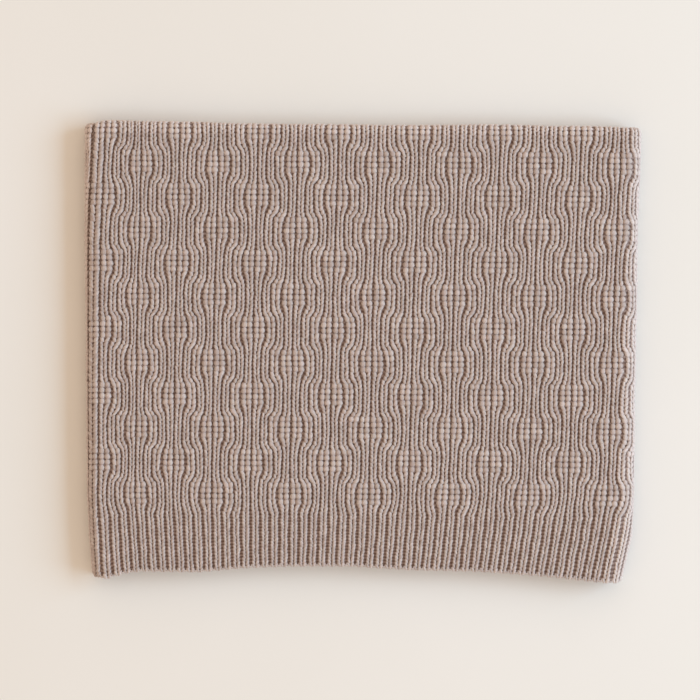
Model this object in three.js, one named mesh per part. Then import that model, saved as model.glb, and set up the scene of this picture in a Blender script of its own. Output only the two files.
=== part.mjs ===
// Infinity scarf: a tube in one by one rib, half of it turned down inside, laid flat.
// Millimetres, +Z up. The origin is on the surface it lies on, under the middle of the part.
// +X runs along the width, from the linked seam to the plain fold.
// +Y runs up the height, from the hems to the edge where the tube turns down inside.
import * as THREE from 'three';

// Wall and layers
const WALL = 2.5; // one knitted layer, over its ribs
const GAP = 0.3; // space between two pieces
const SLIT = 0.6; // neck slit between the two layers turned inside
const STACK = 4 * WALL + 2 * GAP + SLIT; // the four layers as they lie
const FOLD = STACK / 2; // outer radius of a side fold

// Ribs and courses
const RIBS = 56; // ribs across the front
const REPEAT = 8; // ribs in one repeat of the pattern
const BLOCK_RIB = 1; // first trough that runs down the middle of a widened block
const COURSE = 1.795; // height of one course of stitches
const ROW_COURSES = 8; // courses from one row of blocks to the next
const ROWS = 12; // rows of blocks, each half a repeat aside from the last
const FIRST_ROW = 95.9; // height of the middle of the first row of blocks, at the seam
const COURSE_DROP = 1.5; // how much lower a course lies at the fold than at the seam
const HEM_COURSE = 93; // course at which the plain rib hem starts
const LEAN_COURSE = 98.5; // course at which the hem ribs lean in most
const FADE_COURSES = 4; // courses over which the last blocks run out into the hem

// Relief of the outer face
const TROUGH = 1.1; // depth of the furrow between two ribs
const HEM_TROUGH = 1.4; // the same furrow in the hem
const CREST = 0.25; // how much lower a plain rib lies than a widened one
const SHOULDERS = [0.28, 0.72]; // where a rib's top starts and ends, as shares of its width
const BLOCK_START = -3; // first course of a block, from its middle
const BLOCK_END = 2; // last course of a block, from its middle
const EASE = 1.35; // how far the ribs at a third of the width are drawn to the seam
const EASE_PEAK = 4 / 27; // height of the curve s (1 - s)^2, which spreads that draw

// Edges of the walls
const BLUNT = THREE.MathUtils.degToRad(78); // where the rounded top edge of a wall ends
const ROLL_STEPS = [BLUNT, THREE.MathUtils.degToRad(50), THREE.MathUtils.degToRad(25)];
const BLUNT_DROP = WALL * (1 - Math.sin(BLUNT)); // how far that lies below the edge
const SCALLOP = 1.2; // how far a rib's end stands past the furrow at the hem
const EDGE_BAND = 2.4; // last stretch of the hem, which rounds off
const EDGE_ROUND = 0.6; // drop of the outer face over that stretch
const INNER_HEM = 1.2; // how far the inner hems lie behind the outer one
const INNER_SOFT = 0.4; // rounding of the inner hems
const SLIT_DEPTH = 9; // depth to which the slit is open at each end

// Linked seam
const SEAM_HALF = 0.6; // half its width
const SEAM_ZIGZAG = 0.2; // sideways step from one linked stitch to the next
const SEAM_STEP = 4; // length of one such step
const SEAM_TOP = 0.6; // depth of its top below the ribs
const SEAM_BOTTOM = 2.3; // depth of its underside
const SEAM_END = 1.6; // depth of the rounded top edge at which it stops
const SEAM_CLEAR = 0.1; // least depth of its top below that rounded edge

const YARN = 0xa5928a;

// The outline from above, and the ribs as they would lie if the side folds were rolled out:
// the seam, the trough of the fifth rib and the trough of the fifty-third, at each height.
const SECTIONS = [
  { y: -100, left: -116.0, seam: -118.0, fifth: -95.4, last: 99.3, right: 111.5 },
  { y: -81, left: -117.6, seam: -118.9, fifth: -96.7, last: 103.2, right: 116.1 },
  { y: -63, left: -118.5, seam: -119.6, fifth: -98.0, last: 106.3, right: 117.0 },
  { y: -22, left: -118.9, seam: -119.4, fifth: -97.5, last: 107.9, right: 117.4 },
  { y: 22, left: -119.2, seam: -118.9, fifth: -97.0, last: 109.2, right: 118.3 },
  { y: 52, left: -119.6, seam: -116.6, fifth: -96.0, last: 110.3, right: 118.5 },
  { y: 81, left: -119.6, seam: -116.1, fifth: -95.5, last: 111.5, right: 119.6 },
  { y: 100, left: -119.4, seam: -116.1, fifth: -95.4, last: 111.8, right: 119.6 },
];
const FIFTH = 5;
const LAST = 53;

// The turned edge and the hem, as heights across the width
const EDGES = [
  { x: -117, top: 98.6, hem: -96.4 },
  { x: -111, top: 99.9, hem: -98.2 },
  { x: -104, top: 99.8, hem: -96.0 },
  { x: -96, top: 99.5, hem: -94.7 },
  { x: -70, top: 99.2, hem: -95.1 },
  { x: -52, top: 98.4, hem: -93.4 },
  { x: -31, top: 98.2, hem: -92.6 },
  { x: -5, top: 98.0, hem: -92.6 },
  { x: 19, top: 97.7, hem: -94.1 },
  { x: 51, top: 98.0, hem: -94.9 },
  { x: 67, top: 97.9, hem: -96.0 },
  { x: 84, top: 97.3, hem: -97.5 },
  { x: 100, top: 97.3, hem: -99.3 },
  { x: 108, top: 97.1, hem: -99.9 },
  { x: 114, top: 96.7, hem: -99.7 },
];

// How far the first and second troughs beside a block's middle move out, course by course.
// The ribs spread slowly above a block and close in quickly below it.
const WAVE = [
  { course: 0, first: 1.06, second: 1.21 },
  { course: 1, first: 1.02, second: 1.17 },
  { course: 2, first: 0.67, second: 1.08 },
  { course: 3, first: 0.13, second: 0.65 },
  { course: 4, first: -0.32, second: -0.11 },
  { course: 5, first: -0.56, second: -0.87 },
  { course: 6, first: -0.69, second: -1.02 },
  { course: 7, first: -0.78, second: -1.12 },
  { course: 8, first: -0.8, second: -1.15 },
  { course: 9, first: -0.75, second: -1.12 },
  { course: 10, first: -0.69, second: -1.08 },
  { course: 11, first: -0.52, second: -0.8 },
  { course: 12, first: -0.15, second: 0.09 },
  { course: 13, first: 0.5, second: 0.82 },
  { course: 14, first: 0.95, second: 1.1 },
  { course: 15, first: 1.04, second: 1.19 },
  { course: 16, first: 1.06, second: 1.21 },
];
const WAVE_COURSES = 2 * ROW_COURSES;

const clamp = (value, low, high) => Math.min(Math.max(value, low), high);
const mix = (from, to, share) => from + (to - from) * share;
const cycle = (value, length) => ((value % length) + length) % length;

// A table's column, read at a place between two of its rows
function read(table, key, place, column) {
  const next = table.findIndex((row) => row[key] >= place);
  const after = clamp(next < 0 ? table.length - 1 : next, 1, table.length - 1);
  const low = table[after - 1];
  const high = table[after];
  const share = clamp((place - low[key]) / (high[key] - low[key]), 0, 1);
  return mix(low[column], high[column], share);
}

const outline = (y, column) => read(SECTIONS, 'y', y, column);
const topEdge = (x) => read(EDGES, 'x', x, 'top');
const hemEdge = (x) => read(EDGES, 'x', x, 'hem');

// Height of a course at a rib, counted down from the first row of blocks
const courseHeight = (rib, course) =>
  FIRST_ROW - COURSE * course - (COURSE_DROP * rib) / RIBS;

// Sideways move of a trough at a course. Blocks of the odd rows stand half a repeat aside.
// The waves end at the seam and at the plain fold, where the wall is parted.
function sway(trough, course) {
  if (trough <= 0 || trough >= RIBS) {
    return 0;
  }
  const place = cycle(trough - BLOCK_RIB, REPEAT);
  const near = place < REPEAT / 2;
  const own = near ? place : place - REPEAT / 2;
  const here = cycle(course + (near ? 0 : ROW_COURSES), WAVE_COURSES);
  const there = cycle(here + ROW_COURSES, WAVE_COURSES);
  const moves = [
    0,
    read(WAVE, 'course', here, 'first'),
    read(WAVE, 'course', here, 'second'),
    -read(WAVE, 'course', there, 'first'),
  ];
  const hemFade = clamp((HEM_COURSE + 1 - course) / FADE_COURSES, 0, 1);
  const foldFade = trough === RIBS - 1 ? 0.5 : 1;
  return moves[own] * hemFade * foldFade;
}

// Where a trough runs on the rolled out width, without its waves
function troughLine(trough, y) {
  const seam = outline(y, 'seam');
  const fifth = outline(y, 'fifth');
  const last = outline(y, 'last');
  if (trough < FIFTH) {
    return mix(seam, fifth, trough / FIFTH);
  }
  const share = (trough - FIFTH) / (LAST - FIFTH);
  const drawn = share < 1 ? (EASE * share * (1 - share) ** 2) / EASE_PEAK : 0;
  return mix(fifth, last, share) - drawn;
}

// The front's border at the seam leaves room for the linked stitches
function ribPlace(rib, y, course) {
  const from = Math.floor(rib);
  const seamRoom = from === 0 ? SEAM_HALF + SEAM_ZIGZAG + GAP : 0;
  const foldRoom = rib === RIBS ? GAP / 2 : 0;
  const start = troughLine(from, y) + sway(from, course) + seamRoom;
  const end = troughLine(from + 1, y) + sway(from + 1, course);
  return mix(start, end, rib - from) - foldRoom;
}

// A point of the tube's wall: flat on top, round over each side fold, flat below.
// `place` is measured on the rolled out outer face, `depth` is the distance below it.
function wallPoint(place, y, depth) {
  const left = outline(y, 'left') + FOLD;
  const right = outline(y, 'right') - FOLD;
  const side = place > right ? 1 : -1;
  const centre = side > 0 ? right : left;
  const turn = Math.max((side * (place - centre)) / FOLD, 0);
  const radius = FOLD - depth;
  if (turn === 0) {
    return [place, y, FOLD + radius];
  }
  if (turn > Math.PI) {
    return [centre - side * (turn - Math.PI) * FOLD, y, FOLD - radius];
  }
  return [centre + side * radius * Math.sin(turn), y, FOLD + radius * Math.cos(turn)];
}

// Depth to which a wall's rounded top edge has dropped, a given way below the edge
function rollDepth(below) {
  const rise = clamp(WALL - below, 0, WALL);
  return WALL - Math.sqrt(WALL * WALL - rise * rise);
}

// How much of a block's lift a rib has at a course: all for the two middle ribs, half beside them
function blockShare(rib, course) {
  const place = cycle(Math.floor(rib) - BLOCK_RIB, REPEAT);
  const aside = Math.min(place, REPEAT - 1 - place);
  const inBlock = (shift) => {
    const phase = cycle(course + shift + ROW_COURSES, WAVE_COURSES) - ROW_COURSES;
    return phase >= BLOCK_START && phase <= BLOCK_END && course < HEM_COURSE;
  };
  const own = inBlock(0) ? clamp(1 - aside / 2, 0, 1) : 0;
  const other = inBlock(ROW_COURSES) ? clamp(aside / 2 - 0.5, 0, 1) : 0;
  return Math.max(own, other);
}

// Depth of the ribbed face below its highest ribs
function relief(rib, course) {
  const inTrough = rib === Math.floor(rib);
  if (inTrough) {
    return course < HEM_COURSE ? TROUGH : HEM_TROUGH;
  }
  return CREST * (1 - blockShare(rib, course));
}

// A growing closed surface: points, and triangles between them
class Surface {
  constructor() {
    this.points = [];
    this.faces = [];
  }

  point(position) {
    this.points.push(position);
    return this.points.length - 1;
  }

  // A sheet of rows and columns; `flip` turns its faces the other way
  sheet(rows, columns, at, flip = false) {
    const grid = rows.map((row) => columns.map((column) => this.point(at(row, column))));
    for (let r = 0; r + 1 < rows.length; r += 1) {
      for (let c = 0; c + 1 < columns.length; c += 1) {
        const [a, b] = [grid[r][c], grid[r][c + 1]];
        const [d, e] = [grid[r + 1][c], grid[r + 1][c + 1]];
        this.triangle(a, d, e, flip);
        this.triangle(a, e, b, flip);
      }
    }
    return grid;
  }

  triangle(a, b, c, flip) {
    this.faces.push(flip ? [a, c, b] : [a, b, c]);
  }

  // A strip between two lines that run side by side, each with its own spacing of points
  strip(outer, inner, measure, flip = false) {
    let i = 0;
    let j = 0;
    const reach = (line, n) => measure(this.points[line[n]], n);
    while (i + 1 < outer.length || j + 1 < inner.length) {
      const outerNext = i + 1 < outer.length ? reach(outer, i + 1) : Infinity;
      const innerNext = j + 1 < inner.length ? reach(inner, j + 1) : Infinity;
      if (outerNext <= innerNext) {
        this.triangle(outer[i], inner[j], outer[i + 1], flip);
        i += 1;
      } else {
        this.triangle(outer[i], inner[j], inner[j + 1], flip);
        j += 1;
      }
    }
  }

  // Closed rings of equal count, joined one to the next, with both ends covered
  tube(rings) {
    const loops = rings.map((ring) => ring.map((position) => this.point(position)));
    const count = loops[0].length;
    for (let r = 0; r + 1 < loops.length; r += 1) {
      for (let n = 0; n < count; n += 1) {
        const m = (n + 1) % count;
        this.triangle(loops[r][n], loops[r + 1][n], loops[r + 1][m]);
        this.triangle(loops[r][n], loops[r + 1][m], loops[r][m]);
      }
    }
    this.cover(loops[0], false);
    this.cover(loops[loops.length - 1], true);
  }

  // A ring whose first half faces its second half is covered by a ladder between them
  cover(loop, flip) {
    let low = 0;
    let high = loop.length - 1;
    while (high - low > 1) {
      this.triangle(loop[low], loop[low + 1], loop[high], flip);
      low += 1;
      if (high - low > 1) {
        this.triangle(loop[low], loop[high - 1], loop[high], flip);
        high -= 1;
      }
    }
  }

  // Volume inside the triangles, negative where they face inwards
  volume() {
    const at = (n) => new THREE.Vector3(...this.points[n]);
    return this.faces.reduce((sum, [a, b, c]) => sum + at(a).dot(at(b).cross(at(c))) / 6, 0);
  }

  mesh(name) {
    const outwards = this.volume() > 0;
    const index = this.faces.flatMap(([a, b, c]) => (outwards ? [a, b, c] : [a, c, b]));
    const geometry = new THREE.BufferGeometry();
    geometry.setAttribute('position', new THREE.Float32BufferAttribute(this.points.flat(), 3));
    geometry.setIndex(index);
    geometry.computeVertexNormals();
    const wool = new THREE.MeshStandardMaterial({ color: YARN, roughness: 0.95, metalness: 0 });
    const result = new THREE.Mesh(geometry, wool);
    result.name = name;
    return result;
  }
}

// A wall from an outer and an inner sheet, joined along all four borders
function wall(name, outer, inner, measureAcross) {
  const surface = new Surface();
  const face = surface.sheet(outer.rows, outer.columns, outer.at);
  const back = surface.sheet(inner.rows, inner.columns, inner.at, true);
  const column = (grid, n) => grid.map((row) => row.at(n));
  const down = (position) => -position[1];
  surface.strip(face[0], back[0], measureAcross, true);
  surface.strip(face.at(-1), back.at(-1), measureAcross);
  surface.strip(column(face, 0), column(back, 0), down);
  surface.strip(column(face, -1), column(back, -1), down, true);
  return surface.mesh(name);
}

// Rows of the front: the rounded top edge, the start and end of each row of blocks, the hem
function frontRows() {
  const rows = ROLL_STEPS.map((roll) => ({ roll, course: 0 }));
  for (let row = 0; row < ROWS; row += 1) {
    const middle = row * ROW_COURSES;
    rows.push({ course: row === 0 ? middle : middle + BLOCK_START });
    rows.push({ course: middle + BLOCK_END });
  }
  rows.push({ course: HEM_COURSE });
  rows.push({ course: LEAN_COURSE });
  rows.push({ course: LEAN_COURSE, hem: EDGE_BAND });
  rows.push({ course: LEAN_COURSE, hem: 0 });
  return rows;
}

// Columns of the front: the trough at the start of each rib, then its two shoulders
function frontColumns() {
  const columns = [];
  for (let rib = 0; rib < RIBS; rib += 1) {
    columns.push(rib, ...SHOULDERS.map((share) => rib + share));
  }
  columns.push(RIBS);
  return columns;
}


function frontPoint(row, rib) {
  const rough = row.hem === undefined ? courseHeight(rib, row.course) : SECTIONS[0].y;
  const x = ribPlace(rib, row.roll === undefined ? rough : topEdge(0), row.course);
  let y = rough;
  if (row.roll !== undefined) {
    y = topEdge(x) - WALL * (1 - Math.sin(row.roll));
  }
  const inTrough = rib === Math.floor(rib);
  if (row.hem !== undefined) {
    y = hemEdge(x) + row.hem + (inTrough && row.hem === 0 ? SCALLOP : 0);
  }
  const place = ribPlace(rib, y, row.course);
  const roll = rollDepth(topEdge(place) - y);
  const round = row.hem === 0 ? EDGE_ROUND : 0;
  const depth = roll + round + relief(rib, row.course) * (1 - roll / WALL);
  return wallPoint(place, y, depth);
}

// The plain inside of the front: three spans, over one side fold, across, over the other
const ARC_SHARES = [0, 0.2, 0.4, 0.6, 0.8, 1];
const FLAT_SHARES = [0.25, 0.5, 0.75];
const insideColumns = [
  ...ARC_SHARES.map((share) => ({ span: 'seam', share })),
  ...FLAT_SHARES.map((share) => ({ span: 'flat', share })),
  ...ARC_SHARES.map((share) => ({ span: 'fold', share })),
];
const INSIDE_HEIGHTS = SECTIONS.slice(1, -1).map((section) => section.y).reverse();
const insideRows = ['top', ...INSIDE_HEIGHTS, 'hem'];

function spanEnds(span, y) {
  const left = outline(y, 'left') + FOLD;
  const right = outline(y, 'right') - FOLD;
  if (span === 'seam') {
    return [ribPlace(0, y, 0), left];
  }
  if (span === 'fold') {
    return [right, ribPlace(RIBS, y, 0)];
  }
  return [left, right];
}

function insidePoint(row, { span, share }) {
  const rowHeight = { top: topEdge(0), hem: SECTIONS[0].y };
  const level = rowHeight[row] ?? row;
  const rough = mix(...spanEnds(span, level), share);
  const edges = { top: topEdge(rough) - BLUNT_DROP, hem: hemEdge(rough) + SCALLOP };
  const y = edges[row] ?? row;
  return wallPoint(mix(...spanEnds(span, y), share), y, WALL);
}

// Distance along the front as seen from above, counted on round the side folds by depth
function acrossFront([x, , z]) {
  const side = Math.sign(x);
  return x + side * Math.max(FOLD - z, 0) + side * Math.max(STACK - WALL - z, 0);
}

function frontPanel() {
  const outer = { rows: frontRows(), columns: frontColumns(), at: frontPoint };
  const inner = { rows: insideRows, columns: insideColumns, at: insidePoint };
  return wall('front_panel', outer, inner, acrossFront);
}

// The back: two ribs turn under each side fold, and the rest lies flat
const TURNED_RIBS = 2;
const turnedColumns = [];
for (let rib = 0; rib < TURNED_RIBS; rib += 1) {
  turnedColumns.push({ share: rib / TURNED_RIBS, depth: TROUGH });
  for (const shoulder of SHOULDERS) {
    turnedColumns.push({ share: (rib + shoulder) / TURNED_RIBS, depth: 0 });
  }
}
const UNDER_SHARES = [0, 0.1, 0.2, 0.3, 0.4, 0.5, 0.6, 0.7, 0.8, 0.9, 1];
const backColumns = [
  ...turnedColumns.map(({ share, depth }) => ({ span: 'fold', share, depth })),
  ...UNDER_SHARES.map((share) => ({ span: 'flat', share, depth: 0 })),
  ...turnedColumns.map(({ share, depth }) => ({ span: 'seam', share: 1 - share, depth })).reverse(),
];
const backRows = [
  ...ROLL_STEPS.map((roll) => ({ roll })),
  { roll: 0 },
  ...INSIDE_HEIGHTS.map((y) => ({ y })),
  { hem: EDGE_BAND },
  { hem: 0 },
];
const BACK_SHORT = 0.8; // how far the back's hem lies behind the front's

// Angles of the side folds are counted from the top of the fold, down and under
function backPlan({ span, share }, y) {
  const left = outline(y, 'left') + FOLD;
  const right = outline(y, 'right') - FOLD;
  const seamRoom = SEAM_HALF + SEAM_ZIGZAG + GAP;
  const foldTurn = (troughLine(RIBS, y) + GAP / 2 - right) / FOLD;
  const seamTurn = (left - troughLine(0, y) + seamRoom) / FOLD;
  if (span === 'fold') {
    return right + mix(foldTurn, Math.PI, share) * FOLD;
  }
  if (span === 'seam') {
    return left - mix(Math.PI, seamTurn, share) * FOLD;
  }
  const half = share < 0.5 ? share : 1 - share;
  const turned = Math.PI * FOLD + half * (right - left);
  return share < 0.5 ? right + turned : left - turned;
}

function backPoint(depthOf) {
  return (row, column) => {
    const level = row.y ?? (row.hem === undefined ? topEdge(0) : SECTIONS[0].y);
    const [x] = wallPoint(backPlan(column, level), level, 0);
    let y = level;
    if (row.roll !== undefined) {
      y = topEdge(x) - WALL * (1 - Math.sin(row.roll));
    }
    if (row.hem !== undefined) {
      y = hemEdge(x) + BACK_SHORT + row.hem;
    }
    return wallPoint(backPlan(column, y), y, depthOf(row, column));
  };
}

function backPanel() {
  const outerDepth = (row, column) => {
    const roll = row.roll === undefined ? 0 : WALL * (1 - Math.cos(row.roll));
    return roll + column.depth * (1 - roll / WALL);
  };
  const outer = { rows: backRows, columns: backColumns, at: backPoint(outerDepth) };
  const inner = { rows: backRows, columns: backColumns, at: backPoint(() => WALL) };
  return wall('back_panel', outer, inner, (position, order) => order);
}

// The linked seam: a low bar between the ends of the panel, stepping from side to side
function sideSeam() {
  const top = topEdge(outline(topEdge(0), 'seam'));
  const endBelow = WALL - Math.sqrt(WALL * WALL - (WALL - SEAM_END) ** 2);
  const start = top - endBelow;
  const end = hemEdge(outline(SECTIONS[0].y, 'left')) + SCALLOP;
  const steps = Math.round((start - end) / SEAM_STEP);
  const profile = [
    { side: -1, sunk: 1 },
    { side: 1, sunk: 1 },
    { side: 1, sunk: 0.3 },
    { side: 0.6, sunk: 0 },
    { side: -0.6, sunk: 0 },
    { side: -1, sunk: 0.3 },
  ];
  const rings = [];
  for (let step = 0; step <= steps; step += 1) {
    const y = mix(start, end, step / steps);
    const middle = troughLine(0, y) + (step % 2 === 0 ? SEAM_ZIGZAG : -SEAM_ZIGZAG);
    const upper = Math.max(SEAM_TOP, rollDepth(top - y) + SEAM_CLEAR);
    rings.push(profile.map(({ side, sunk }) =>
      wallPoint(middle + side * SEAM_HALF, y, mix(upper, SEAM_BOTTOM, sunk))));
  }
  const surface = new Surface();
  surface.tube(rings);
  return surface.mesh('side_seam');
}

// One ring round the turned-in layers, at a depth below the scarf's outer face
const RING_TURNS = 8; // steps round each side fold
const RING_SPANS = 10; // steps across the width
function layerRing(depth, heightAt) {
  const ring = [];
  const add = (side, turn, share) => {
    const plan = (y) => {
      const left = outline(y, 'left') + FOLD;
      const right = outline(y, 'right') - FOLD;
      const centre = side > 0 ? right : left;
      return share === undefined ? centre + side * turn * FOLD : mix(left, right, share);
    };
    const level = heightAt(side * outline(0, 'right'));
    const rough = wallPoint(plan(level), level, depth);
    const y = heightAt(rough[0]);
    const [x, , z] = wallPoint(plan(y), y, depth);
    ring.push([x, y, share !== undefined && side < 0 ? STACK - z : z]);
  };
  for (let n = 0; n <= RING_TURNS; n += 1) {
    add(1, (Math.PI * n) / RING_TURNS);
  }
  for (let n = 1; n < RING_SPANS; n += 1) {
    add(-1, 0, 1 - n / RING_SPANS);
  }
  for (let n = RING_TURNS; n >= 0; n -= 1) {
    add(-1, (Math.PI * n) / RING_TURNS);
  }
  for (let n = 1; n < RING_SPANS; n += 1) {
    add(1, 0, n / RING_SPANS);
  }
  return ring;
}

// The layers turned inside: one rounded solid with the neck slit open at both ends
function innerPanels() {
  const face = WALL + GAP;
  const core = face + WALL;
  const lip = [90, 65, 35, 0].map((angle) => THREE.MathUtils.degToRad(angle));
  const rings = [layerRing(core, (x) => topEdge(x) - WALL - SLIT_DEPTH)];
  for (const angle of lip) {
    const below = WALL * (1 - Math.cos(angle)) + BLUNT_DROP;
    rings.push(layerRing(face + WALL * Math.sin(angle), (x) => topEdge(x) - below));
  }
  for (const y of INSIDE_HEIGHTS) {
    rings.push(layerRing(face, () => y));
  }
  const hem = (above) => (x) => hemEdge(x) + INNER_HEM + above;
  rings.push(layerRing(face, hem(INNER_SOFT)));
  rings.push(layerRing(face + INNER_SOFT, hem(0)));
  rings.push(layerRing(core - INNER_SOFT, hem(0)));
  rings.push(layerRing(core, hem(INNER_SOFT)));
  rings.push(layerRing(core, hem(SLIT_DEPTH)));
  const surface = new Surface();
  surface.tube(rings);
  return surface.mesh('inner_panels');
}

const scarf = new THREE.Group();
scarf.add(frontPanel(), backPanel(), sideSeam(), innerPanels());

export default scarf;
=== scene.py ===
# Infinity scarf: a tube in one by one rib, half of it turned down inside, laid flat.
# Lengths are in millimetres until a mesh or the camera is made, and in metres for the light and floor.
import math

import bpy
import numpy as np
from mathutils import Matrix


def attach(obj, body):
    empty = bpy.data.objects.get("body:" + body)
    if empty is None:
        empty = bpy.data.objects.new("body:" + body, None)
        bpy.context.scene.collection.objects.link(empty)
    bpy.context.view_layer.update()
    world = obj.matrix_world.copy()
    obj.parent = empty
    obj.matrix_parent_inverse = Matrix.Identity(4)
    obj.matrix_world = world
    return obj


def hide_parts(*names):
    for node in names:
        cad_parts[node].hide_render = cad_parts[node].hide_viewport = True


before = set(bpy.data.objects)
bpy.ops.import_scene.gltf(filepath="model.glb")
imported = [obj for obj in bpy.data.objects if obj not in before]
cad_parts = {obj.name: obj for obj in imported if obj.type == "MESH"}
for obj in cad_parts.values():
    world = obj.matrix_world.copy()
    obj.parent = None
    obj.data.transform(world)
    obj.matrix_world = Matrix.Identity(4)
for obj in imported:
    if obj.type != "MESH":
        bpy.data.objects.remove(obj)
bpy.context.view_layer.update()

MM = 0.001  # a millimetre, in metres

# Layers
WALL = 2.5  # one knitted layer, over its ribs
GAP = 0.3  # space between two layers
SLIT = 0.6  # neck slit between the two layers turned inside
STACK = 4 * WALL + 2 * GAP + SLIT
FOLD = STACK / 2  # outer radius of a side fold
ROLL = WALL + GAP / 2  # outer radius of the edge where the tube turns down inside

# Ribs and courses
FRONT_RIBS = 56
RIBS = 2 * FRONT_RIBS  # ribs all round
REPEAT = 8  # ribs in one repeat of the pattern
BLOCK_RIB = 1  # first furrow that runs down the middle of a widened block
COURSE = 1.795  # height of one course
ROW_COURSES = 8  # courses from one row of blocks to the next
WAVE_COURSES = 2 * ROW_COURSES
FIRST_ROW = 95.9  # height of the middle of the first row of blocks, at the seam
COURSE_DROP = 1.5  # how much lower a course lies at the plain fold than at the seam
TOP_COURSE = -5.0  # course at the lip of the neck slit
HEM_COURSE = 93.0  # course at which the plain rib hem starts
END_COURSE = 109.0  # course at the cast-on edge
FADE_END = HEM_COURSE + 1  # course at which the last blocks have run out into the hem
FADE_COURSES = 4  # courses over which they do
BLOCK_START, BLOCK_END = -3.0, 2.4  # a block, in courses from its middle
BLOCK_STITCHES = 4  # tall stitches in a block
PLAIN_PITCH = 0.964  # courses to a stitch between blocks
LEFT_PROUD, RIGHT_PROUD = 0.8, 1.6  # how far a side fold bulges past its half circle
BACK_SHORT = 0.8  # how far the back's hem lies behind the front's
EASE = 1.35  # how far the ribs at a third of the width are drawn to the seam
EASE_PEAK = 4 / 27  # height of the curve s (1 - s)^2, which spreads that draw
SEAM_EASE = 0.84  # power of the ribs' spread beside the seam, where the first are the widest

# Outline and rib lines of the front by height: left and right edge, and on the rolled out
# width the seam, the fifth furrow and the fifty-third
SECTIONS = {
    "y": [-100, -81, -63, -22, 22, 52, 81, 100],
    "left": [-116.0, -117.6, -118.5, -118.9, -119.2, -119.6, -119.6, -119.4],
    "seam": [-118.0, -118.9, -119.6, -119.4, -119.1, -118.7, -117.0, -115.9],
    "fifth": [-95.4, -96.7, -98.0, -97.5, -97.0, -96.0, -95.5, -95.4],
    "last": [99.3, 103.2, 106.3, 107.9, 109.2, 110.5, 112.0, 112.5],
    "right": [111.5, 116.1, 117.0, 117.4, 118.3, 118.6, 119.8, 120.3],
}
FIFTH, LAST = 5, 53  # the furrows that two of the columns follow

# Heights of the turned edge and of the hem across the width
EDGES = {
    "x": [-117, -111, -104, -96, -70, -52, -31, -5, 19, 51, 67, 84, 100, 108, 114],
    "top": [98.6, 99.9, 99.8, 99.5, 99.2, 98.4, 98.2, 98.0, 97.7, 98.0, 97.9, 97.3, 97.3, 97.1, 96.7],
    "hem": [
        -96.4, -98.2, -96.0, -94.7, -95.1, -93.4, -92.6, -92.6, -94.1, -94.9, -96.0, -97.5, -99.3,
        -99.9, -99.7,
    ],
}

# Outward move of the first and second furrow beside a block's middle, course by course:
# the ribs spread slowly above a block and close in quickly below it
WAVE = {
    "first": [
        1.15, 1.12, 1.12, 0.66, -0.12, -0.48, -0.62, -0.68,
        -0.70, -0.70, -0.69, -0.67, -0.56, 0.10, 0.95, 1.08,
    ],
    "second": [
        1.35, 1.38, 1.37, 1.38, 0.80, -0.96, -1.20, -1.22,
        -1.20, -1.22, -1.16, -1.15, -0.97, 0.75, 1.22, 1.33,
    ],
}


def section(y, column):
    """The column of the outline's table at heights y, straight between its rows."""
    return np.interp(y, SECTIONS["y"], SECTIONS[column])


def edge(x, column):
    """Height of the turned edge or the hem at x, straight between the table's places."""
    return np.interp(x, EDGES["x"], EDGES[column])


def sway(furrow, course):
    """Sideways move of a furrow: the wave table read at the course, from the middle of the block
    beside it. The furrows of the other half of the repeat are half a wave later, and the third
    from a block is the first of the next one, mirrored. Each furrow also strays a little by
    chance, straight from one random value to the next a few courses on."""
    place = np.mod(furrow - BLOCK_RIB, REPEAT)
    near = place < REPEAT / 2
    own = np.where(near, place, place - REPEAT / 2)
    here = course + np.where(near, 0, ROW_COURSES)
    phases = np.arange(WAVE_COURSES)
    first = np.interp(here, phases, WAVE["first"], period=WAVE_COURSES)
    second = np.interp(here, phases, WAVE["second"], period=WAVE_COURSES)
    third = -np.interp(here + ROW_COURSES, phases, WAVE["first"], period=WAVE_COURSES)
    move = np.choose(own.astype(int), [np.zeros_like(first), first, second, third])
    fade = np.clip((FADE_END - course) / FADE_COURSES, 0, 1)
    row = (course - TOP_COURSE) / WOBBLE_COURSES
    above = np.clip(np.floor(row), 0, wobbles.shape[1] - 2).astype(int)
    lane = np.clip(furrow, 0, RIBS).astype(int)
    share = np.clip(row - above, 0, 1)
    chance = wobbles[lane, above] * (1 - share) + wobbles[lane, above + 1] * share
    at_seam = (furrow <= 0) | (furrow >= RIBS)
    return np.where(at_seam, 0, move * fade + chance)


def furrow_line(furrow, y):
    """Place of a furrow on the rolled out width, without its waves. From the seam to the fifth it
    follows a power of the furrow's share, then it is straight to the fifty-third and on, less the
    draw s (1 - s)^2; on the back the ribs share evenly what is left of the way round."""
    seam, fifth, last = (section(y, column) for column in ("seam", "fifth", "last"))
    share = (furrow - FIFTH) / (LAST - FIFTH)
    draw = np.where((share > 0) & (share < 1), EASE * share * (1 - share) ** 2 / EASE_PEAK, 0)
    near_seam = seam + (fifth - seam) * np.clip(furrow / FIFTH, 0, None) ** SEAM_EASE
    front = np.where(furrow < FIFTH, near_seam, fifth + (last - fifth) * share - draw)
    fold = fifth + (last - fifth) * (FRONT_RIBS - FIFTH) / (LAST - FIFTH)
    flat = section(y, "right") - section(y, "left") - 2 * FOLD
    round_to_seam = seam + 2 * flat + 2 * math.pi * FOLD
    back = fold + (round_to_seam - fold) * (furrow - FRONT_RIBS) / FRONT_RIBS
    return np.where(furrow <= FRONT_RIBS, front, back)


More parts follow.
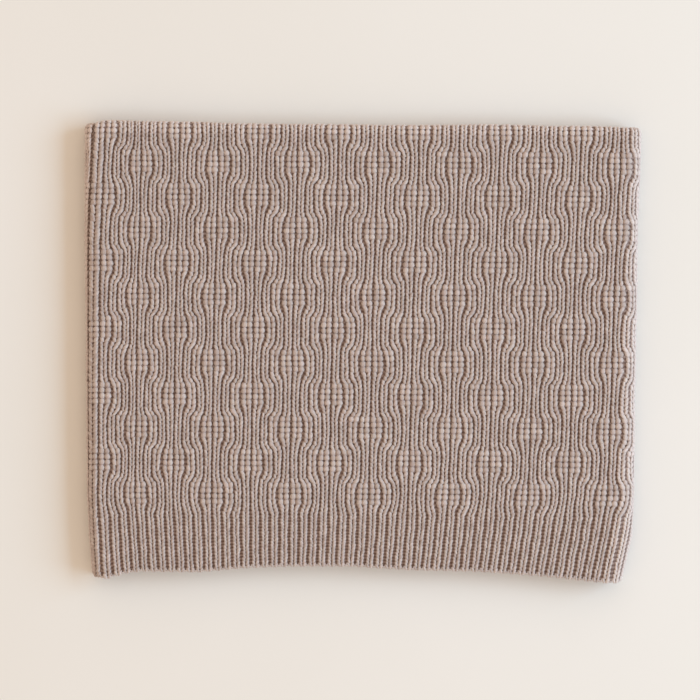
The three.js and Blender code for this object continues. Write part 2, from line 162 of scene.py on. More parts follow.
def wall_point(place, y, depth):
    """A point of the flattened tube: flat on top, half a circle round each side fold, flat
    below. The place is the length along the outer face, the depth is measured inwards."""
    left = section(y, "left") + FOLD
    right = section(y, "right") - FOLD
    radius = FOLD - depth
    past = place - right
    half = math.pi * FOLD
    width = right - left
    left_turn = np.where(place < left, (left - place) / FOLD, (2 * half + width - past) / FOLD)
    right_turn = past / FOLD
    on_left = (place < left) | (past > half + width)
    on_right = (past > 0) & (past <= half)
    under = (past > half) & (past <= half + width)
    x = np.select(
        [on_left, on_right, under],
        [
            left - (radius + LEFT_PROUD) * np.sin(left_turn),
            right + (radius + RIGHT_PROUD) * np.sin(right_turn), right - past + half,
        ],
        place,
    )
    z = np.select(
        [on_left, on_right, under],
        [FOLD + radius * np.cos(left_turn), FOLD + radius * np.cos(right_turn), FOLD - radius],
        FOLD + radius,
    )
    return np.stack([x, y, z], axis=-1)


def back_share(rib):
    """0 on the front, 1 on the back, with a step at the folds."""
    return (rib > FRONT_RIBS).astype(float)


def course_height(rib, course):
    """Length up the wale at which a course lies: evenly spaced down the body, dropping a little
    from the seam to the plain fold, then spread evenly over the hem down to its edge."""
    aside = FRONT_RIBS - np.abs(rib - FRONT_RIBS)
    drop = COURSE_DROP * aside / FRONT_RIBS
    body = FIRST_ROW - COURSE * course - drop
    start = FIRST_ROW - COURSE * HEM_COURSE - drop
    x = wall_point(furrow_line(rib, SECTIONS["y"][0]), np.full_like(body, SECTIONS["y"][0]), 0)[..., 0]
    end = edge(x, "hem") - HEM_PROUD + BACK_SHORT * back_share(rib)
    share = (course - HEM_COURSE) / (END_COURSE - HEM_COURSE)
    return np.where(course <= HEM_COURSE, body, start + (end - start) * share)


def surface_point(place, length, depth):
    """A point of the whole wall: below the turned edge it is the flattened tube, and above it
    the length up the wale bends inwards round half a circle of radius ROLL, then runs down."""
    level = np.minimum(length, SECTIONS["y"][-1])
    x = wall_point(place, level, 0 * level)[..., 0]
    start = edge(x, "top") - ROLL
    past = np.maximum(length - start, 0)
    turn = np.minimum(past / ROLL, math.pi)
    down = np.maximum(past - math.pi * ROLL, 0)
    y = np.minimum(length, start) + (ROLL - depth) * np.sin(turn) - down
    inward = ROLL - (ROLL - depth) * np.cos(turn)
    return wall_point(place, y, inward)


def rib_point(rib, course):
    """Place and length of a point of the knitting, between the two furrows beside it."""
    below = np.floor(rib)
    length = course_height(rib, course)
    level = np.clip(length, SECTIONS["y"][0], SECTIONS["y"][-1])
    start = furrow_line(below, level) + sway(below, course)
    end = furrow_line(below + 1, level) + sway(below + 1, course)
    return start + (end - start) * (rib - below), length


# Sizes of the patterns in the materials, from one light patch to the next
FLECK_SIZE = 2.4  # flecks in the wool's colour, a stitch or two wide
CLOUD_SIZE = 2.0  # warmer and cooler patches of wool
FIBRE_SIZE = 0.4  # loose fibres on the yarn
BOARD_CLOUD_SIZE = 200.0  # faint patches of the board's paint
BUMP_DEPTH = 0.3  # how far the yarn's plies and fibres stand up
FLECK_SHARE = 0.55  # how much a fleck changes the tone, beside the stitch's own
PLY_SCALE = 1.6  # of the plies' bands, two or three to a leg, on its own UV map
PLY_SHARE = 0.5  # how much the plies count in the yarn's relief, beside its fibres
COURSE_SHARE = 0.3  # how much a course counts in the ground's relief and in its painted shade, beside its specks
MIX_A, MIX_B, MIX_RESULT = 6, 7, 2  # numbers of a colour mix's sockets, whose names it uses twice


def pattern_scale(size):
    """Scale of a noise pattern, in patches to a metre, from the size of a patch."""
    return 1 / (size * MM)


def linear(hex_colour):
    """sRGB hex to linear colour, by the curve of the sRGB standard, and opaque."""
    parts = [int(hex_colour[n:n + 2], 16) / 255 for n in (1, 3, 5)]
    return [part / 12.92 if part <= 0.04045 else ((part + 0.055) / 1.055) ** 2.4 for part in parts] + [1]


def add_node(tree, kind, settings=(), links=()):
    """Adds a node, sets its properties or input sockets by name or number, and links its inputs."""
    node = tree.nodes.new(kind)
    for name, value in dict(settings).items():
        if isinstance(name, str) and hasattr(node, name):
            setattr(node, name, value)
        else:
            node.inputs[name].default_value = value
    for name, source in dict(links).items():
        tree.links.new(source, node.inputs[name])
    return node


def new_material(name):
    """A named material, its node tree and its one shader, for the functions below to fill."""
    material = bpy.data.materials.new(name)
    material.use_nodes = True
    tree = material.node_tree
    return material, tree, tree.nodes["Principled BSDF"]


def merino_yarn():
    """Spun merino wool, two plies. It looks matt and warm, with a pale soft rim to each stitch from
    its loose fibres. Its tone changes from stitch to stitch and in flecks a few stitches wide, and
    the plies slant along the yarn, so that the knit doesn't look moulded."""
    material, tree, shader = new_material("merino yarn, spun and plied")
    place = add_node(tree, "ShaderNodeTexCoord")
    # the tone attribute holds each yarn's own random tone plus the painted highlight on the folds
    tone = add_node(tree, "ShaderNodeAttribute", {"attribute_name": "tone"})
    fleck = add_node(
        tree, "ShaderNodeTexNoise", {"Scale": pattern_scale(FLECK_SIZE), "Detail": 3.0, "Roughness": 0.6},
        {"Vector": place.outputs["Object"]},
    )
    cloud = add_node(
        tree, "ShaderNodeTexNoise", {"Scale": pattern_scale(CLOUD_SIZE), "Detail": 1.0},
        {"Vector": place.outputs["Object"]},
    )
    mixed = add_node(
        tree, "ShaderNodeMath", {"operation": "MULTIPLY_ADD", 1: FLECK_SHARE},
        {0: fleck.outputs["Fac"], 2: tone.outputs["Fac"]},
    )
    ramp = add_node(tree, "ShaderNodeValToRGB", (), {"Fac": mixed.outputs["Value"]})
    ramp.color_ramp.elements[0].position = 0.15
    ramp.color_ramp.elements[0].color = linear("#b8aca8")
    ramp.color_ramp.elements[1].position = 1.0
    ramp.color_ramp.elements[1].color = linear("#dfd6d3")
    tint = add_node(
        tree, "ShaderNodeMix", {"data_type": "RGBA", "blend_type": "MIX"},
        {"Factor": cloud.outputs["Fac"]},
    )
    tint.inputs[MIX_A].default_value = linear("#fbf6ee")
    tint.inputs[MIX_B].default_value = linear("#fdeeea")
    colour = add_node(tree, "ShaderNodeMix", {"data_type": "RGBA", "blend_type": "MULTIPLY", "Factor": 1.0})
    tree.links.new(ramp.outputs["Color"], colour.inputs[MIX_A])
    tree.links.new(tint.outputs[MIX_RESULT], colour.inputs[MIX_B])
    tree.links.new(colour.outputs[MIX_RESULT], shader.inputs["Base Color"])
    plies = add_node(
        tree, "ShaderNodeTexWave", {"wave_type": "BANDS", "bands_direction": "DIAGONAL",
                                    "Scale": PLY_SCALE, "Distortion": 1.5, "Detail": 1.0},
        {"Vector": place.outputs["UV"]},
    )
    fibre = add_node(
        tree, "ShaderNodeTexNoise", {"Scale": pattern_scale(FIBRE_SIZE), "Detail": 4.0, "Roughness": 0.7},
        {"Vector": place.outputs["Object"]},
    )
    relief = add_node(
        tree, "ShaderNodeMath", {"operation": "MULTIPLY_ADD", 1: PLY_SHARE},
        {0: plies.outputs["Fac"], 2: fibre.outputs["Fac"]},
    )
    bump = add_node(
        tree, "ShaderNodeBump", {"Strength": 0.55, "Distance": BUMP_DEPTH * MM},
        {"Height": relief.outputs["Value"]},
    )
    tree.links.new(bump.outputs["Normal"], shader.inputs["Normal"])
    shader.inputs["Roughness"].default_value = 0.9
    shader.inputs["IOR"].default_value = 1.54
    shader.inputs["Specular IOR Level"].default_value = 0.25
    shader.inputs["Sheen Weight"].default_value = 0.4
    shader.inputs["Sheen Roughness"].default_value = 0.5
    shader.inputs["Sheen Tint"].default_value = linear("#fff2ea")
    return material


def purl_ground_painted_shade():
    """The same wool where the purl stitches lie deep between the ribs, in darker and duller tones than the
    yarn's: painted shade for the shade deep in the furrows, so that the ribs stand out. It has a low bump
    to each course: the sine of the piece's UV map, which counts ribs across and courses down; the colour
    follows that bump, painted darker in the hollows between courses."""
    material, tree, shader = new_material("merino purl ground, painted shade")
    place = add_node(tree, "ShaderNodeTexCoord")
    split = add_node(tree, "ShaderNodeSeparateXYZ", (), {"Vector": place.outputs["UV"]})
    turn = add_node(
        tree, "ShaderNodeMath", {"operation": "MULTIPLY", 1: 2 * math.pi}, {0: split.outputs["Y"]},
    )
    wave = add_node(tree, "ShaderNodeMath", {"operation": "SINE"}, {0: turn.outputs["Value"]})
    speck = add_node(
        tree, "ShaderNodeTexNoise", {"Scale": pattern_scale(CLOUD_SIZE), "Detail": 3.0},
        {"Vector": place.outputs["Object"]},
    )
    height = add_node(
        tree, "ShaderNodeMath", {"operation": "MULTIPLY_ADD", 1: COURSE_SHARE},
        {0: wave.outputs["Value"], 2: speck.outputs["Fac"]},
    )
    # painted shade: tones darker than the yarn's stand in for the shade deep in the furrows
    ramp = add_node(tree, "ShaderNodeValToRGB", (), {"Fac": height.outputs["Value"]})
    ramp.color_ramp.elements[0].position = 0.2
    ramp.color_ramp.elements[0].color = linear("#725c54")
    ramp.color_ramp.elements[1].position = 0.85
    ramp.color_ramp.elements[1].color = linear("#a48f87")
    tree.links.new(ramp.outputs["Color"], shader.inputs["Base Color"])
    bump = add_node(
        tree, "ShaderNodeBump", {"Strength": 0.4, "Distance": BUMP_DEPTH * MM},
        {"Height": height.outputs["Value"]},
    )
    tree.links.new(bump.outputs["Normal"], shader.inputs["Normal"])
    shader.inputs["Roughness"].default_value = 0.95
    shader.inputs["Specular IOR Level"].default_value = 0.2
    return material


def plaster_floor():
    """Pale matt plaster board, with a faint unevenness of tone, so that the eye stays on the knit
    and its soft shadow."""
    material, tree, shader = new_material("painted plaster board, matt")
    place = add_node(tree, "ShaderNodeTexCoord")
    cloud = add_node(
        tree, "ShaderNodeTexNoise", {"Scale": pattern_scale(BOARD_CLOUD_SIZE), "Detail": 4.0},
        {"Vector": place.outputs["Object"]},
    )
    ramp = add_node(tree, "ShaderNodeValToRGB", (), {"Fac": cloud.outputs["Fac"]})
    ramp.color_ramp.elements[0].position = 0.3
    ramp.color_ramp.elements[0].color = linear("#eee8e0")
    ramp.color_ramp.elements[1].position = 0.7
    ramp.color_ramp.elements[1].color = linear("#f1ebe4")
    tree.links.new(ramp.outputs["Color"], shader.inputs["Base Color"])
    shader.inputs["Roughness"].default_value = 0.85
    shader.inputs["Specular IOR Level"].default_value = 0.2
    return material


def signed_volume(points, faces):
    """Volume inside quads and triangles: a fan from each face's first corner."""
    total = 0.0
    for corners in faces:
        first = points[corners[:, 0]]
        for n in range(1, corners.shape[1] - 1):
            a, b = points[corners[:, n]], points[corners[:, n + 1]]
            total += np.einsum("ij,ij->i", first, np.cross(a, b)).sum() / 6
    return total


def add_piece(name, points, faces, material, corner_uv=None, tone=None):
    """Puts arrays of points and of face corners into a mesh, turned to face outwards."""
    if signed_volume(points, faces) < 0:
        faces = [corners[:, ::-1] for corners in faces]
        corner_uv = None if corner_uv is None else [uv[:, ::-1] for uv in corner_uv]
    mesh = bpy.data.meshes.new(name)
    counts = np.concatenate([np.full(len(corners), corners.shape[1]) for corners in faces])
    loops = np.concatenate([corners.ravel() for corners in faces])
    mesh.vertices.add(len(points))
    mesh.vertices.foreach_set("co", (points * MM).astype(np.float32).ravel())
    mesh.loops.add(len(loops))
    mesh.loops.foreach_set("vertex_index", loops.astype(np.int32))
    mesh.polygons.add(len(counts))
    starts = np.concatenate([[0], np.cumsum(counts)[:-1]])
    mesh.polygons.foreach_set("loop_start", starts.astype(np.int32))
    mesh.polygons.foreach_set("loop_total", counts.astype(np.int32))
    mesh.polygons.foreach_set("use_smooth", np.ones(len(counts), dtype=bool))
    if corner_uv is not None:
        layer = mesh.uv_layers.new(name="knit")
        flat = np.concatenate([uv.reshape(-1, 2) for uv in corner_uv])
        layer.data.foreach_set("uv", flat.astype(np.float32).ravel())
    if tone is not None:
        attribute = mesh.attributes.new("tone", "FLOAT", "POINT")
        attribute.data.foreach_set("value", tone.astype(np.float32))
    mesh.materials.append(material)
    mesh.update(calc_edges=True)
    piece = bpy.data.objects.new(name, mesh)
    bpy.context.scene.collection.objects.link(piece)
    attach(piece, "root")
    return piece


# A leg of a stitch, from its foot to its top, in a plain rib and in a widened one: how far up
# it is, how far out it stands and its half width as shares of the rib's, and how deep it dips
LEG = {
    "rise": [0.0, 0.22, 0.5, 0.80, 1.0],
    "plain aside": [0.080, 0.178, 0.256, 0.316, 0.316],
    "wide aside": [0.170, 0.215, 0.235, 0.278, 0.305],
    "plain size": [0.125, 0.188, 0.205, 0.176, 0.125],
    "wide size": [0.120, 0.240, 0.295, 0.205, 0.105],
    "plain dip": [0.34, 0.10, 0.0, 0.10, 0.60],
    "wide dip": [0.50, 0.07, 0.0, 0.10, 0.58],
}
PLAIN_REACH, WIDE_REACH = 1.40, 1.09  # length of a leg, in courses of its stitch
PLAIN_TOP, WIDE_TOP = 3.3, 4.6  # width of a plain rib and of a widened one, between furrows
PLAIN_TALL, WIDE_TALL = 1.1, 1.3  # height of their stitches, in courses
LEG_HEIGHT = 0.52  # half the thickness of the yarn
BODY_FURROW = 0.40  # width of the furrow between two ribs
HEM_FURROW = 0.82  # the same in the hem
SEAM_FURROW = 1.4  # and at the linked seam
PIT = 0.95  # depth of the ground between the two legs of a stitch
UNDER_LEG = 0.75  # depth of the ground under a leg
FURROW_DEPTH = 1.30  # and in the furrow between two ribs
HEM_FURROW_DEPTH = 1.20  # and in a furrow of the hem
SEAM_DEPTH = 2.1  # and at the linked seam
POCKET = 0.34  # how far a furrow opens to each side just below a block
POCKET_COURSE, POCKET_SPREAD = 3.2, 0.9  # courses from the block's middle to there, and its spread
BLOCK_FURROW = 0.16  # how far the furrows beside and in a block open to each side along it
BLOCK_FURROW_START = BLOCK_START + 1  # course, from its middle, at which they begin to
HEM_OPENS, HEM_OPENING = 2, 3  # courses above the hem where its furrows start to widen, and over which
WOBBLE = 0.10  # how far a furrow strays from its line by chance
WOBBLE_COURSES = 3  # courses from one such stray to the next
SEAM_JAG = 0.22  # how far every other stitch beside the seam reaches over it
TURNED_COURSE, TURNED_SPREAD = 1.5, 2.5  # where the turned edge starts, and its width, in courses
FOLD_RIBS, FOLD_SPREAD = 2.5, 2.0  # the same for the plain fold, in ribs
FOLD_PAINTED_HIGHLIGHT = 0.60  # how much paler the yarn is painted on a fold, as a painted highlight on the rolled edges
FOLD_LIFT = 0.6  # share by which the furrows are shallower on a fold
HEM_PROUD = 0.8  # how far the last course lies below the table's line of the hem

TONE_SPREAD = 0.45  # how much one leg's tone can differ from another's
LEG_DRIFT = 0.06  # how far a leg lies aside of its place by chance
LEG_SWELL = 0.08  # share by which a leg is broader or narrower by chance
LEG_SINK = 0.14  # how much deeper a leg can lie by chance
LEG_ROUND = 1.15  # how slowly a leg thins towards its ends, 1 being as fast as it narrows
NEXT_FURROW = 0.9999  # share of a rib that is just short of the next one
SEED = 7  # of all that differs by chance, so that each run is the same

random = np.random.default_rng(SEED)
wobbles = random.normal(0, WOBBLE, (RIBS + 1, int((END_COURSE - TOP_COURSE) / WOBBLE_COURSES) + 2))


def stitch_rows(phase):
    """Middle and height, in courses, of each stitch down a rib: four tall ones in each block,
    and plain ones of nearly equal height between the blocks and down the hem."""
    middles, heights = [], []

    def stretch(start, end, count):
        """Adds stitches of one height between two courses."""
        step = (end - start) / count
        middles.append(start + step * (np.arange(count) + 0.5))
        heights.append(np.full(count, step))

    start = TOP_COURSE
    for middle in range(phase, int(HEM_COURSE), WAVE_COURSES):
        if middle + BLOCK_START - start > PLAIN_PITCH / 2:
            plain = middle + BLOCK_START
            stretch(start, plain, round((plain - start) / PLAIN_PITCH))
        stretch(middle + BLOCK_START, middle + BLOCK_END, BLOCK_STITCHES)
        start = middle + BLOCK_END
    stretch(start, HEM_COURSE, round((HEM_COURSE - start) / PLAIN_PITCH))
    stretch(HEM_COURSE, END_COURSE, int(END_COURSE - HEM_COURSE))
    return np.concatenate(middles), np.concatenate(heights)


def half_furrow(furrow, course):
    """Half the width of a furrow: narrow in the body, wide in the hem, widest at the seam, and
    opened to a pocket beside the middle of each block where the block ends below. The pocket is a
    bell curve down the courses; along the block the opening is even."""
    share = np.clip((course - HEM_COURSE + HEM_OPENS) / HEM_OPENING, 0, 1)
    plain = (BODY_FURROW + (HEM_FURROW - BODY_FURROW) * share) / 2
    place = np.mod(furrow - BLOCK_RIB, REPEAT)
    beside_own = (place == 1) | (place == REPEAT - 1)
    next_block = REPEAT // 2
    beside_next = (place == next_block - 1) | (place == next_block + 1)
    past = np.mod(course + np.where(beside_next, ROW_COURSES, 0) + ROW_COURSES, WAVE_COURSES) - ROW_COURSES
    pocket = POCKET * np.exp(-((past - POCKET_COURSE) / POCKET_SPREAD) ** 2)
    along = BLOCK_FURROW * ((past > BLOCK_FURROW_START) & (past < BLOCK_END))
    opened = np.where(beside_own | beside_next, np.maximum(pocket, along), 0)
    at_seam = (furrow <= 0) | (furrow >= RIBS)
    return np.where(at_seam, SEAM_FURROW / 2, plain + opened * (1 - share))


def yarn_rings(place, length, depth, width, thick, sides):
    """Rings of points round short yarns that lie in the wall, one row to a yarn: each ring is an
    ellipse across the yarn's line, half a width to each side and half a thickness in depth."""
    run_place, run_length = np.gradient(place, axis=1), np.gradient(length, axis=1)
    run = np.hypot(run_place, run_length)
    across_place, across_length = run_length / run, -run_place / run
    angle = 2 * np.pi * np.arange(sides) / sides
    swing = width[..., None] * np.cos(angle)
    ring_place = place[..., None] + swing * across_place[..., None]
    ring_length = length[..., None] + swing * across_length[..., None]
    ring_depth = depth[..., None] - thick[..., None] * np.sin(angle)
    return surface_point(ring_place, ring_length, np.maximum(ring_depth, 0))


def yarn_piece(name, cloud, material, painted_highlight=0):
    """Joins the rings of each yarn into a tube with closed ends, all in one mesh. Its UV map runs round the
    yarn and along it, and its tone is one random value to a yarn, plus the painted highlight that is given,
    if any."""
    yarns, count, sides = cloud.shape[:3]
    base = (np.arange(yarns) * count * sides)[:, None, None]
    ring = (np.arange(count - 1) * sides)[None, :, None]
    step = np.arange(sides)[None, None, :]
    after = (step + 1) % sides
    quads = np.stack(
        [base + ring + step, base + ring + after, base + ring + sides + after, base + ring + sides + step],
        axis=-1,
    ).reshape(-1, 4)
    foot = (base[:, 0, :] + np.arange(sides)[None, ::-1]).reshape(-1, sides)
    head = (base[:, 0, :] + (count - 1) * sides + np.arange(sides)[None, :]).reshape(-1, sides)
    around, along = np.broadcast_arrays(step / sides, ring / sides / (count - 1))
    uv = np.stack(
        [
            np.stack([around, along], -1), np.stack([around + 1 / sides, along], -1),
            np.stack([around + 1 / sides, along + 1 / (count - 1)], -1),
            np.stack([around, along + 1 / (count - 1)], -1),
        ],
        axis=2,
    )
    side_uv = np.broadcast_to(uv.reshape(1, -1, 4, 2), (yarns, (count - 1) * sides, 4, 2)).reshape(-1, 4, 2)
    end_uv = np.zeros((yarns, sides, 2))
    tone = np.repeat(random.uniform(0.0, TONE_SPREAD, yarns) + painted_highlight, count * sides)
    corner_uv = [side_uv, end_uv, end_uv]
    return add_piece(name, cloud.reshape(-1, 3), [quads, foot, head], material, corner_uv, tone)


def fold_share(rib, course):
    """1 on the turned edge, the plain fold and the fold behind the seam, where the knitting is stretched,
    and 0 on the flat: it rises straight over the last courses and the last ribs. It makes the furrows
    shallower there, and it also marks where the yarn gets a painted highlight."""
    turned = np.clip((TURNED_COURSE - course) / TURNED_SPREAD, 0, 1)
    plain = np.clip((FOLD_RIBS - np.abs(rib - FRONT_RIBS)) / FOLD_SPREAD, 0, 1)
    seamed = np.clip((FOLD_RIBS - (RIBS - rib)) / FOLD_SPREAD, 0, 1)
    return np.maximum(turned, np.maximum(plain, seamed))


def leg_points(rib, middle, height, side, rings, sides):
    """Stitch legs: each stands aside from the middle of its rib by a share of the rib's width,
    leans with the rib, and dips at both ends. In a widened rib the legs are short and broad: how
    wide a rib is, from 0 to 1, comes from the width between its furrows times its stitch's height."""
    def share(column):
        """A column of the legs' table at the rings, between the plain one and the wide one."""
        plain = np.interp(rings, LEG["rise"], LEG["plain " + column])
        return plain + (np.interp(rings, LEG["rise"], LEG["wide " + column]) - plain) * wide

    lane = np.broadcast_to(rib[:, None], (len(rib), len(rings)))
    centre = np.broadcast_to(middle[:, None], lane.shape)

    def rib_edges(course):
        """Places of a rib's two edges, half a furrow in from its furrows' lines."""
        left, _ = rib_point(lane, course)
        right, _ = rib_point(lane + NEXT_FURROW, course)
        return left + half_furrow(lane, course), right - half_furrow(lane + 1, course)

    left, right = rib_edges(centre)
    wide = np.clip((right - left - PLAIN_TOP) / (WIDE_TOP - PLAIN_TOP), 0, 1)
    wide = wide * np.clip((height[:, None] - PLAIN_TALL) / (WIDE_TALL - PLAIN_TALL), 0, 1)
    reach = PLAIN_REACH + (WIDE_REACH - PLAIN_REACH) * wide
    course = centre + (0.5 - rings) * reach * height[:, None]
    left, right = rib_edges(course)
    _, length = rib_point(lane + 0.5, course)
    drift = random.normal(0, LEG_DRIFT, (len(rib), 1))
    at_seam = ((rib == 0) & (side < 0)) | ((rib == RIBS - 1) & (side > 0))
    jag = np.where(at_seam & (np.mod(np.round(middle / height), 2) == 0), SEAM_JAG, 0)
    drift = drift + (side * jag)[:, None]
    place = (left + right) / 2 + side[:, None] * share("aside") * (right - left) + drift
    width = share("size") * (right - left) * random.normal(1, LEG_SWELL, (len(rib), 1))
    thick = LEG_HEIGHT * np.clip(LEG_ROUND * share("size") / share("size").max(axis=1, keepdims=True), 0, 1)
    depth = LEG_HEIGHT + share("dip") + random.uniform(0, LEG_SINK, (len(rib), 1))
    return yarn_rings(place, length, depth, width, thick, sides)


# The two halves of the repeat: the course of the first block, and the ribs that share its rows
HALVES = ((0, (6, 7, 0, 1)), (ROW_COURSES, (2, 3, 4, 5)))


def stitch_piece(name, ribs, courses, rings, sides, material):
    """All stitch legs of some ribs between two courses: for each half of the repeat, every rib of
    it meets every row of stitches and both sides of a stitch."""
    clouds, folds = [], []
    for phase, offsets in HALVES:
        lanes = ribs[np.isin(np.mod(ribs - BLOCK_RIB, REPEAT), offsets)]
        middles, heights = stitch_rows(phase)
        inside = (middles >= courses[0]) & (middles < courses[1])
        lane, row, side = np.meshgrid(lanes, np.flatnonzero(inside), [-1, 1], indexing="ij")
        lane, row, side = lane.ravel(), row.ravel(), side.ravel()
        clouds.append(leg_points(lane.astype(float), middles[row], heights[row], side, rings, sides))
        folds.append(fold_share(lane + 0.5, middles[row]))
    # the folds get a painted highlight: their yarn is given a paler tone
    return yarn_piece(name, np.concatenate(clouds), material, FOLD_PAINTED_HIGHLIGHT * np.concatenate(folds))


# A loop of the cast-on row
LOOP_RINGS = 7  # rings of points along it
LOOP_REACH = 0.45  # how far it reaches into the rib on each side
LOOP_RISE = 0.35  # how far its middle lies above the last course
LOOP_BEND = 1.1  # how far its ends lie above its middle
LOOP_SIZE = 0.42  # half its width
LOOP_DEPTH = 0.75  # depth of its middle line
EDGE_SIDES = 5  # sides of the yarn in the loops, and in the chain too

# A link of the seam's chain
LINK_RINGS = 5  # rings of points along it
LINK_REACH = 1.3  # its length, in half courses
LINK_SLANT = 1.1  # how far it runs across, as a share of the seam's furrow
LINK_DEPTH = 1.80  # depth of its middle
LINK_DIP = 0.6  # how fast it goes deeper to its ends
LINK_SIZE = 0.24  # half its width in the middle
LINK_TAPER = 0.4  # how fast it thins to its ends
CHAIN_START = TOP_COURSE + 3  # course at which the chain starts
CHAIN_END = END_COURSE - 1  # course at which it ends


def cast_on_edge(material):
    """The loops of the cast-on row: each hangs across a furrow from the rib on one side to the
    rib on the other, as a shallow arc."""
    across = np.linspace(-1, 1, LOOP_RINGS)[None, :]
    furrow = np.arange(RIBS, dtype=float)[:, None] + 0 * across
    place, length = rib_point(furrow, np.full_like(furrow, END_COURSE))
    place = place + across * (HEM_FURROW / 2 + LOOP_REACH)
    length = length + LOOP_RISE + LOOP_BEND * across ** 4
    size = np.full_like(place, LOOP_SIZE)
    depth = np.full_like(place, LOOP_DEPTH)
    rings = yarn_rings(place, length, depth, size, size, EDGE_SIDES)
    return yarn_piece("cast_on_edge", rings, material)


def seam_chain(material):
    """The chain that links the two ends of the panel: links slant to and fro across the seam's
    furrow, two to a course, and dip at their ends."""
    links = np.arange(2 * CHAIN_START, 2 * CHAIN_END)[:, None]
    along = np.linspace(-0.5, 0.5, LINK_RINGS)[None, :]
    course = (links + 0.5 + along * LINK_REACH) / 2
    side = np.where(links % 2 == 0, 1, -1)
    place, length = rib_point(0 * course, course)
    place = place + side * along * SEAM_FURROW * LINK_SLANT
    depth = LINK_DEPTH + LINK_DIP * along ** 2 + 0 * course
    size = LINK_SIZE - LINK_TAPER * along ** 2 + 0 * course
    rings = yarn_rings(place, length, depth, size, size, EDGE_SIDES)
    return yarn_piece("seam_chain", rings, material)


def closed_wall(name, grid, rib_of, course_of, material):
    """A wall from a closed grid: rows run down one skin and back up the other, and columns run
    round the tube, so both wrap and the wall has no open edge. Its UV map counts ribs and courses."""
    rows, columns = grid.shape[:2]
    row, column = np.meshgrid(np.arange(rows), np.arange(columns), indexing="ij")
    next_row, next_column = (row + 1) % rows, (column + 1) % columns
    quads = np.stack(
        [
            row * columns + column, row * columns + next_column,
            next_row * columns + next_column, next_row * columns + column,
        ],
        axis=-1,
    ).reshape(-1, 4)
    ribs = np.append(rib_of, RIBS)
    uv = np.stack(
        [
            np.stack([ribs[column], course_of[row]], -1), np.stack([ribs[column + 1], course_of[row]], -1),
            np.stack([ribs[column + 1], course_of[next_row]], -1),
            np.stack([ribs[column], course_of[next_row]], -1),
        ],
        axis=2,
    ).reshape(-1, 4, 2)
    return add_piece(name, grid.reshape(-1, 3), [quads], material, [uv])


# Points of the ground across one rib, and what lies over them
GROUND = {"share": [0.0, 0.22, 0.5, 0.78], "over": ["furrow", "leg", "pit", "leg"]}
ROLL_END = -1.0  # course at which the turned edge has come round to the flat
ROLL_STEP, FLAT_STEP = 0.5, 2.0  # courses from row to row of the wall, in the roll and on the flat
LAST_ROWS = [END_COURSE - 0.9, END_COURSE - 0.4]  # the wall's last rows, just inside the cast-on loops
CLEAR = 0.1  # how far a face without stitches keeps inside its layer
INNER_SHARES = np.array([0.0, 0.25, 0.5, 0.75])  # points of the inner tube across one rib
INNER_COURSES = np.array([2.2, 3, 5, 12, 25, 40, 60, 80, HEM_COURSE, 98, 104, 107, 108, 108.5])
INNER_FURROW = 0.35  # depth of its furrows
INNER_FACE = 0.5  # the share of that on the face at the neck slit


def knit_wall(material):
    """The outer tube as a wall: its outer skin lies under the stitches and sinks between the
    ribs, its inner skin is plain, and it ends at the lip of the neck slit and at the hem."""
    ribs = (np.arange(RIBS)[:, None] + np.array(GROUND["share"])).ravel()
    courses = np.concatenate([
        np.arange(TOP_COURSE, ROLL_END, ROLL_STEP), np.arange(ROLL_END, HEM_COURSE, FLAT_STEP),
        np.arange(HEM_COURSE, LAST_ROWS[0], FLAT_STEP), LAST_ROWS,
    ])
    rib, course = np.meshgrid(ribs, courses)
    place, length = rib_point(rib, course)
    deepest = np.where(course < HEM_COURSE, FURROW_DEPTH, HEM_FURROW_DEPTH)
    deepest = deepest * (1 - FOLD_LIFT * fold_share(rib, course))
    over = np.tile(GROUND["over"], RIBS)
    ground = np.where(over == "furrow", deepest, np.where(over == "leg", UNDER_LEG, PIT))
    ground[:, 0] = SEAM_DEPTH
    outer = surface_point(place, length, ground)
    inner = surface_point(place, length, np.full_like(rib, WALL - CLEAR))
    grid = np.concatenate([outer, inner[::-1]])
    return closed_wall("knit_wall", grid, ribs, np.concatenate([courses, courses[::-1]]), material)


def inner_tube(material):
    """The half of the tube that is turned inside: a flattened tube in the outer one, ribbed on
    both faces, with the neck slit in its middle and its hem just behind the outer hem."""
    ribs = (np.arange(RIBS)[:, None] + INNER_SHARES).ravel()
    rib, course = np.meshgrid(ribs, INNER_COURSES)
    place, length = rib_point(rib, course)
    furrow = INNER_FURROW * (0.5 + 0.5 * np.cos(2 * np.pi * rib))
    outer = wall_point(place, length, WALL + GAP + CLEAR + furrow)
    inner = wall_point(place, length, 2 * WALL + GAP - CLEAR - furrow[:, ::-1] * INNER_FACE)
    grid = np.concatenate([outer, inner[::-1]])
    course_of = np.concatenate([INNER_COURSES, INNER_COURSES[::-1]])
    return closed_wall("inner_tube", grid, ribs, course_of, material)


FRAME_WIDTH = 302.75  # what the picture's width spans at the scarf's top face
FRAME_SHIFT = -4.97  # where the middle of the picture lies in X
LENS, SENSOR = 200.0, 36.0  # a long lens, as the photo shows hardly any side of the cloth
FLOOR_HALF = 1.5  # half the side of the board, in metres
SURROUND_STRENGTH = 0.775  # of the even light that a pale room throws back


def photo_camera():
    """Straight above the scarf, framed as in the photo: as far above its top face as makes the
    picture span the frame's width there, and set aside by the frame's shift."""
    data = bpy.data.cameras.new("photo_camera")
    data.lens = LENS
    data.sensor_width = SENSOR
    camera = bpy.data.objects.new("photo_camera", data)
    height = STACK * MM + FRAME_WIDTH * MM * data.lens / data.sensor_width
    camera.location = (FRAME_SHIFT * MM, 0.0, height)
    bpy.context.scene.collection.objects.link(camera)
    bpy.context.scene.camera = camera


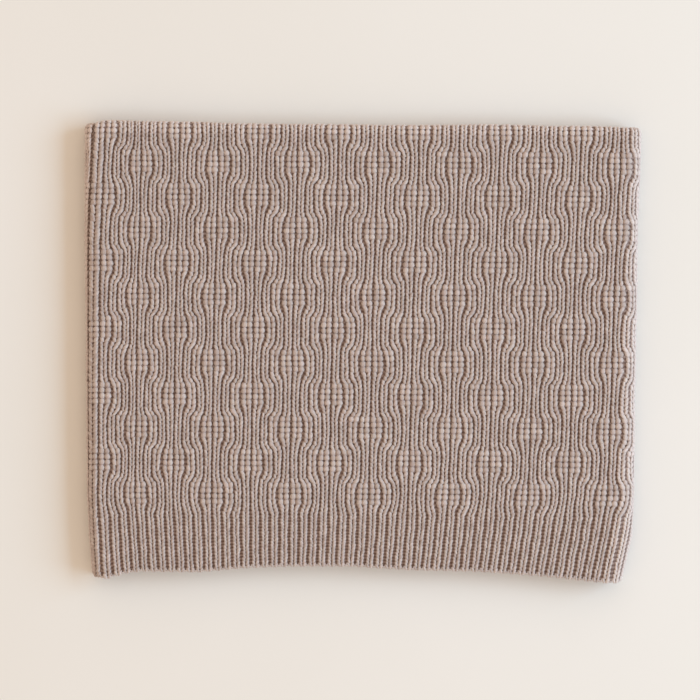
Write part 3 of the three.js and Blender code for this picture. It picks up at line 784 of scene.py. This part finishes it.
def area_light(name, place, width, height, energy, colour):
    """A soft rectangular light that faces the scarf: sizes in metres, energy in watts."""
    data = bpy.data.lights.new(name, "AREA")
    data.shape = "RECTANGLE"
    data.size = width
    data.size_y = height
    data.energy = energy
    data.color = linear(colour)[:3]
    light = bpy.data.objects.new(name, data)
    light.location = place
    aim = -light.location
    light.rotation_euler = aim.to_track_quat("-Z", "Y").to_euler()
    bpy.context.scene.collection.objects.link(light)


def studio():
    """A large soft light from the right, an even pale surround and the floor."""
    area_light(
        "window_light", place=(1.80, 0.05, 1.05), width=1.7, height=1.1, energy=42.5, colour="#b8e0ff",
    )
    world = bpy.data.worlds.new("pale_surround")
    world.use_nodes = True
    world.node_tree.nodes["Background"].inputs["Color"].default_value = linear("#ffebd6")
    world.node_tree.nodes["Background"].inputs["Strength"].default_value = SURROUND_STRENGTH
    bpy.context.scene.world = world
    mesh = bpy.data.meshes.new("floor")
    corners = [(x * FLOOR_HALF, y * FLOOR_HALF, 0) for x, y in ((-1, -1), (1, -1), (1, 1), (-1, 1))]
    mesh.from_pydata(corners, [], [(0, 1, 2, 3)])
    floor = bpy.data.objects.new("floor", mesh)
    mesh.materials.append(plaster_floor())
    bpy.context.scene.collection.objects.link(floor)
    bpy.context.scene.view_settings.view_transform = "Standard"


photo_camera()
studio()
yarn = merino_yarn()
ground = purl_ground_painted_shade()
# the wall's ground and the turned-in half both wear the painted shade of the purl ground
wall = knit_wall(ground)
inside = inner_tube(ground)
fine_rings = np.array(LEG["rise"])
plain_rings = np.array([0.0, 0.5, 1.0])
FRONT_SIDES, BACK_SIDES = 5, 4  # sides of the yarn
UPPER_END, MIDDLE_END, BACK_HALF = 30.0, 62.0, 50.0  # courses that part the pieces
FOLDED = 2  # ribs of the back beside each fold that show from the front
front_ribs = np.concatenate([np.arange(0, FRONT_RIBS + FOLDED), np.arange(RIBS - FOLDED, RIBS)])
back_ribs = np.arange(FRONT_RIBS + FOLDED, RIBS - FOLDED)

# The pieces of the knitting, each between two courses
FRONT_PARTS = {
    "front_stitches_upper": (TOP_COURSE, UPPER_END),
    "front_stitches_middle": (UPPER_END, MIDDLE_END),
    "front_stitches_lower": (MIDDLE_END, HEM_COURSE),
    "front_hem_stitches": (HEM_COURSE, END_COURSE),
}
BACK_PARTS = {
    "back_stitches_upper": (TOP_COURSE, BACK_HALF),
    "back_stitches_lower": (BACK_HALF, END_COURSE),
}
knitting = [
    stitch_piece(name, front_ribs, courses, fine_rings, FRONT_SIDES, yarn)
    for name, courses in FRONT_PARTS.items()
]
knitting += [
    stitch_piece(name, back_ribs, courses, plain_rings, BACK_SIDES, yarn)
    for name, courses in BACK_PARTS.items()
]
edge_loops = cast_on_edge(yarn)
chain = seam_chain(yarn)
knitting.append(edge_loops)
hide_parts("front_panel", "back_panel")
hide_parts("side_seam")
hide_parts("inner_panels")
